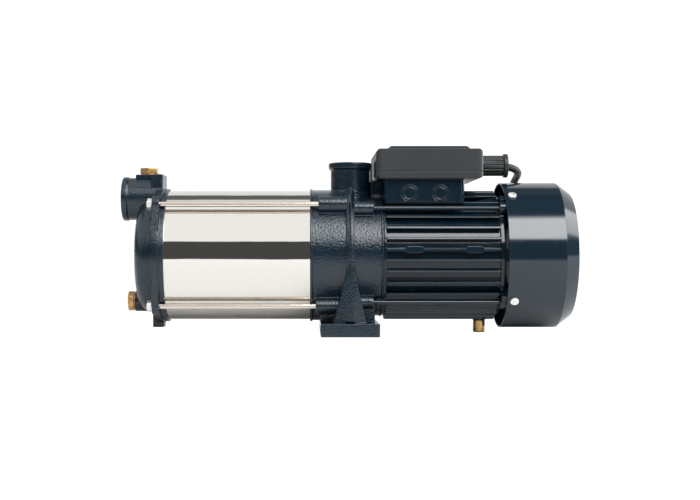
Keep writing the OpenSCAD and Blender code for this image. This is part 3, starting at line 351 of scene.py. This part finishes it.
# Base web: the short cast web that fills the shade between the discharge neck and the base of
# the terminal box. It belongs to the frame's casting and stops just under the tray.
WEB_SIZE = (0.0135, 0.044, 0.0186)
WEB_FROM_BASE = -0.0055
WEB_UNDER_TRAY = -0.0095
base_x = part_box("terminal_box_gasket")[0][0]
base_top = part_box("terminal_box_tray")[0][2]
bpy.ops.object.select_all(action="DESELECT")
bpy.ops.mesh.primitive_cube_add(size=1)
base_web = bpy.context.object
base_web.name = "base_web"
base_web.data.transform(Matrix.Translation((base_x + WEB_FROM_BASE, 0, base_top + WEB_UNDER_TRAY))
                        @ Matrix.Diagonal((*WEB_SIZE, 1)))
round_edges(base_web, width=0.0015, steps=3)
paint_over(base_web, frame_paint)
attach(base_web, "root")

# Stator, rotor and rear shield: stacked sheets of core steel with copper windings, closed by a
# painted aluminium shield. Long bolts hold it, and a brass pin props the motor's rear end.
core_steel = material("core_steel", (0.28, 0.28, 0.27), rough=(0.4, 0.55), metallic=1.0, bump=0.2,
                      grain=1500)
paint_nodes(core_steel, "stator_core", "rotor_core")
paint_nodes(copper, "stator_windings")
rounded("rear_shield", frame_paint, width=0.0006)
paint_nodes(frame_paint, "motor_bolts")
rounded("support_pin", brass, width=0.0003)

# Fan: moulded black plastic with straight blades, pressed on the flats of the shaft behind the
# rear shield and held by a spring clip.
fan_plastic = material("fan_plastic", (0.035, 0.035, 0.037), rough=(0.4, 0.5), bump=0.1)
paint_nodes(fan_plastic, "cooling_fan")
paint_nodes(plated, "fan_clip")

# Fan cover: a pressed steel bowl with a grille in its end and a smooth semi gloss coat. Four
# zinc plated screws with cross recesses hold it on the lugs of the rear shield.
SHAFT_Z = 0.077
SCREW_X = 0.1574
SCREW_TOP_R = 0.07365
SCREW_TURN = 37.3
sheet_paint = material("sheet_paint", NAVY, rough=(0.1, 0.13), bump=0.02, grain=300, patch=40,
                       strength=0.15, specular=0.6)
rounded("fan_cover", sheet_paint, width=0.0004)
cover_screws = rounded("fan_cover_screws", zinc, width=0.0004)


def cross_recesses(piece, heads, length, across, depth):
    """Cuts a cross recess into each head, given by the middle of its top and the way it faces."""
    bpy.ops.object.select_all(action="DESELECT")
    bars = []
    for top, facing in heads:
        turn = Vector((0, 0, 1)).rotation_difference(Vector(facing)).to_matrix().to_4x4()
        for size in ((length, across), (across, length)):
            bpy.ops.mesh.primitive_cube_add(size=1)
            bar = bpy.context.object
            bar.data.transform(Matrix.Translation(top) @ turn
                               @ Matrix.Diagonal((*size, 2 * depth, 1)))
            bars.append(bar)
    for bar in bars:
        bar.select_set(True)
    bpy.ops.object.join()
    cutter = bpy.context.object
    alone(piece)
    cut = piece.modifiers.new("cross", "BOOLEAN")
    cut.object = cutter
    cut.solver = "EXACT"
    cut.use_self = True
    bpy.ops.object.modifier_apply(modifier="cross")
    bpy.ops.object.shade_smooth_by_angle(angle=SMOOTH_EDGE)
    bpy.data.objects.remove(cutter)


cover_heads = []
for quarter in range(4):
    turned = math.radians(SCREW_TURN + 90 * quarter)
    facing = (0, -math.sin(turned), math.cos(turned))
    top = (SCREW_X, SCREW_TOP_R * facing[1], SHAFT_Z + SCREW_TOP_R * facing[2])
    cover_heads.append((top, facing))
cross_recesses(cover_screws, cover_heads, length=0.0042, across=0.0009, depth=0.0009)

# Terminal box: black moulded plastic with a fine matt skin. The tray stands on a rubber gasket
# on the motor's base and holds the capacitor and the terminal block. Four screws hold the lid.
LID_SCREW_R = 0.003
black_plastic = material("black_plastic", (0.022, 0.024, 0.026), rough=(0.36, 0.46), bump=0.35,
                         grain=1400, patch=30, strength=0.12, depth=0.0002, specular=0.35)
pale_plastic = material("pale_plastic", (0.75, 0.73, 0.68), rough=(0.35, 0.45), bump=0.1)
paint_nodes(rubber, "terminal_box_gasket")
paint_nodes(pale_plastic, "run_capacitor", "terminal_block")
rounded("terminal_box_tray", black_plastic, width=0.0006)
rounded("terminal_box_cover", black_plastic, width=0.0006)
lid_screws = rounded("terminal_cover_screws", plated, width=0.0003)
low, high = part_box("terminal_cover_screws")
lid_heads = [((x, y, high[2]), (0, 0, 1)) for x in (low[0] + LID_SCREW_R, high[0] - LID_SCREW_R)
             for y in (low[1] + LID_SCREW_R, high[1] - LID_SCREW_R)]
cross_recesses(lid_screws, lid_heads, length=0.0034, across=0.0008, depth=0.0008)

# Cable gland: a black nylon body in the end of the terminal box, and a fluted nut that squeezes
# a rubber bush round the cable.
rounded("gland_nut", black_plastic, width=0.0005)
paint_nodes(black_plastic, "gland_body")
paint_nodes(rubber, "gland_seal")

# Power cable: 1.5 m of 7.5 mm rubber cable with a moulded plug. It goes from the gland over the
# shoulder of the fan cover and down behind it, into a hank of four turns held by a tie. Its
# route is in millimetres, as in the part's source.
MM = 0.001
CABLE_R = 3.75
HANK_AT = (200, 132)
HANK_TURN = -9.7
HANK_BEND = 23
HANK_RUN = 75
TURNS = 4
RUN_OUT = (2, 18, 37, 57, 73)
RUN_BACK = (57, 37, 18)
FOLD_STEPS = 10
RISE_FROM = 0.08
RISE_OVER = 0.62
PLUG_S = -8
PLUG_T = 40
PLUG_Z = TURNS * 2 * CABLE_R + 8
TIE_LIFT = 1.1
TIE_T = 50
TIE_REACH = 45
cable_rubber = material("cable_rubber", (0.014, 0.014, 0.015), rough=(0.45, 0.58), bump=0.12,
                        grain=1100, specular=0.35)
route = [(133, 0, 166.2), (140, 0, 166.2), (147, 0, 166.2), (155, 1.4, 165.8),
         (162.5, 5.2, 164.8), (168.7, 11.1, 163.2), (172.6, 18.7, 161.2), (174, 27, 159),
         (173, 42, 152.5), (172, 55, 143), (171, 67, 130), (170, 75, 115), (169, 79, 98),
         (168, 81, 80), (168, 82, 62), (168.5, 83, 45), (169, 84.5, 34), (169.6, 88, 22),
         (171, 95, 12.5), (172.6, 105, 6), (174, 116.2, 3.75)]


def at_hank(s, t, z):
    """From across and along the hank to the part's own frame."""
    turn = math.radians(HANK_TURN)
    return (HANK_AT[0] + s * math.cos(turn) - t * math.sin(turn),
            HANK_AT[1] + s * math.sin(turn) + t * math.cos(turn), z)


def ease(share):
    """From nought to one, slow at both ends."""
    share = min(max(share, 0.0), 1.0)
    return share * share * (3 - 2 * share)


def run_z(layer, t):
    """The height of a straight run, where the lowest turn goes over the strap of the tie."""
    over_strap = TIE_LIFT * ease(1 - abs(t - TIE_T) / TIE_REACH) * (layer == 0)
    return CABLE_R + layer * 2 * CABLE_R + over_strap


for layer in range(TURNS):
    z = CABLE_R + layer * 2 * CABLE_R
    for t in RUN_OUT:
        route.append(at_hank(-HANK_BEND, t, run_z(layer, t)))
    for step in range(FOLD_STEPS + 1):
        a = math.pi * (1 - step / FOLD_STEPS)
        route.append(at_hank(HANK_BEND * math.cos(a), HANK_RUN + HANK_BEND * math.sin(a), z))
    for t in RUN_BACK:
        route.append(at_hank(HANK_BEND, t, run_z(layer, t)))
    for step in range(FOLD_STEPS):
        a = -math.pi * step / FOLD_STEPS
        rise = 2 * CABLE_R * ease((step / FOLD_STEPS - RISE_FROM) / RISE_OVER)
        route.append(at_hank(HANK_BEND * math.cos(a), HANK_BEND * math.sin(a), z + rise))
top = CABLE_R + TURNS * 2 * CABLE_R
for share in (0.0, 0.25, 0.5, 0.75, 1.0):
    route.append(at_hank(-HANK_BEND + (HANK_BEND + PLUG_S) * ease(share), PLUG_T * share,
                         top + (PLUG_Z - top) * ease(share)))
lead = bpy.data.curves.new("power_lead", "CURVE")
lead.dimensions = "3D"
line = lead.splines.new("BEZIER")
line.bezier_points.add(len(route) - 1)
for point, place in zip(line.bezier_points, route):
    point.co = Vector(place) * MM
    point.handle_left_type = point.handle_right_type = "AUTO"
for point in line.bezier_points:
    for handle in (point.handle_left, point.handle_right):
        if handle.z < CABLE_R * MM:
            point.handle_left_type = point.handle_right_type = "FREE"
            handle.z = CABLE_R * MM
line.resolution_u = 6
lead.resolution_u = 6
lead.bevel_depth = CABLE_R * MM
lead.bevel_resolution = 4
lead.use_fill_caps = True
cable = bpy.data.objects.new("power_lead", lead)
bpy.context.scene.collection.objects.link(cable)
cable.data.materials.append(cable_rubber)
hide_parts("power_cable", "cord_hank")
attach(cable, "root")
paint_nodes(black_plastic, "cord_tie", "mains_plug")

# Studio: a white floor and room, with dark cards in front, over the motor and at both sides,
# and with lamps over the motor, beyond its end and behind it. The camera sees plain white
# round the pump, and looks square at its side from near shaft height.
bpy.ops.object.select_all(action="DESELECT")
FLOOR_AT = (0, 3.4, 0)
FLOOR_SIZE = (16, 8)
bpy.ops.mesh.primitive_plane_add(size=1, location=FLOOR_AT)
floor = bpy.context.object
floor.name = "studio_floor"
floor.data.transform(Matrix.Diagonal((*FLOOR_SIZE, 1, 1)))
floor_paint = material("studio_white", (0.67, 0.67, 0.67), rough=(0.6, 0.7), strength=0.02, patch=2)
paint_over(floor, floor_paint)
floor.visible_camera = False
world = bpy.data.worlds.new("studio")
bpy.context.scene.world = world
world.use_nodes = True
sky = world.node_tree
sky.nodes.clear()


def sky_node(kind, *wires, **values):
    """A node of the sky, with its inputs wired in order and its settings made."""
    made = sky.nodes.new(kind)
    for key, value in values.items():
        setattr(made, key, value)
    for i, wire in enumerate(wires):
        if isinstance(wire, (int, float)):
            made.inputs[i].default_value = wire
        else:
            sky.links.new(wire, made.inputs[i])
    return made.outputs[0]


def sky_math(operation, *wires):
    """The outcome of one sum."""
    return sky_node("ShaderNodeMath", *wires, operation=operation)


def sky_step(wire, low, high, before=0.0, after=1.0):
    """Goes over from one value to another while the wire goes from low to high."""
    return sky_node("ShaderNodeMapRange", wire, low, high, before, after,
                    interpolation_type="SMOOTHSTEP")


def sky_band(wire, low, high, soft):
    """One inside a band, nought outside it."""
    return sky_math("MULTIPLY", sky_step(wire, low - soft, low + soft),
                    sky_step(wire, high - soft, high + soft, 1, 0))


def sky_card(*sides):
    """One where all of its sides are one."""
    card = sides[0]
    for side in sides[1:]:
        card = sky_math("MULTIPLY", card, side)
    return card


def dimmed(level, card, share):
    """The light of the room, brought down to a share of itself on a card."""
    return sky_math("MULTIPLY", level, sky_step(card, 0, 1, 1, share))


def lit(level, lamp, strength):
    """The light of the room with that of a lamp."""
    return sky_math("MULTIPLY_ADD", lamp, strength, level)


WHITE = 1.18
COLD_WHITE = (0.965, 0.985, 1.0, 1)
split = sky.nodes.new("ShaderNodeSeparateXYZ")
sky.links.new(sky_node("ShaderNodeTexCoord"), split.inputs[0])
along, away, up = split.outputs
front = sky_step(away, -0.06, 0.0, 1, 0)
behind = sky_math("SUBTRACT", 1, front)
dark_card = sky_card(front, sky_band(up, -0.125, 0.407, 0.02), sky_band(along, -0.6, 0.38, 0.06))
grey_card = sky_card(behind, sky_band(up, 0.71, 0.89, 0.02))
dark_roof = sky_card(sky_step(up, 0.87, 0.91), sky_step(along, 0.04, 0.12))
dark_sides = sky_card(sky_step(sky_math("ABSOLUTE", along), 0.55, 0.68),
                      sky_step(up, 0.22, 0.3, 1, 0))
soft_box = sky_card(front, sky_band(up, 0.42, 0.86, 0.03), sky_band(along, 0.035, 0.62, 0.015))
side_box = sky_card(sky_step(along, 0.74, 0.8), sky_band(up, 0.3, 0.75, 0.04))
back_box = sky_card(sky_step(along, 0.62, 0.7), sky_step(away, 0.08, 0.16),
                    sky_band(up, -0.05, 0.3, 0.04))
level = sky_step(dark_card, 0, 1, WHITE, 0.08)
level = dimmed(level, grey_card, 0.16)
level = dimmed(level, dark_roof, 0.08)
level = sky_math("MULTIPLY", level, sky_step(away, 0.0, 0.3, 1, 0.8))
level = dimmed(level, dark_sides, 0.12)
level = lit(level, back_box, 5.0)
level = lit(level, soft_box, 9.0)
level = lit(level, side_box, 4.0)
seen = sky_node("ShaderNodeLightPath")
unseen = sky_math("SUBTRACT", 1, seen)
level = sky_math("ADD", sky_math("MULTIPLY", seen, WHITE), sky_math("MULTIPLY", unseen, level))
shine = sky.nodes.new("ShaderNodeBackground")
shine.inputs["Color"].default_value = COLD_WHITE
sky.links.new(level, shine.inputs["Strength"])
out = sky.nodes.new("ShaderNodeOutputWorld")
sky.links.new(shine.outputs["Background"], out.inputs["Surface"])
EYE_AT = (-0.038, -1.276, 0.082)
SIDEWAYS = 40 / 700
eye = bpy.data.cameras.new("camera")
eye.lens = 65.6
eye.sensor_width = 36
eye.shift_x = SIDEWAYS
camera = bpy.data.objects.new("camera", eye)
bpy.context.scene.collection.objects.link(camera)
camera.location = EYE_AT
camera.rotation_euler = (math.pi / 2, 0, 0)
bpy.context.scene.camera = camera
bpy.context.scene.view_settings.view_transform = "Standard"
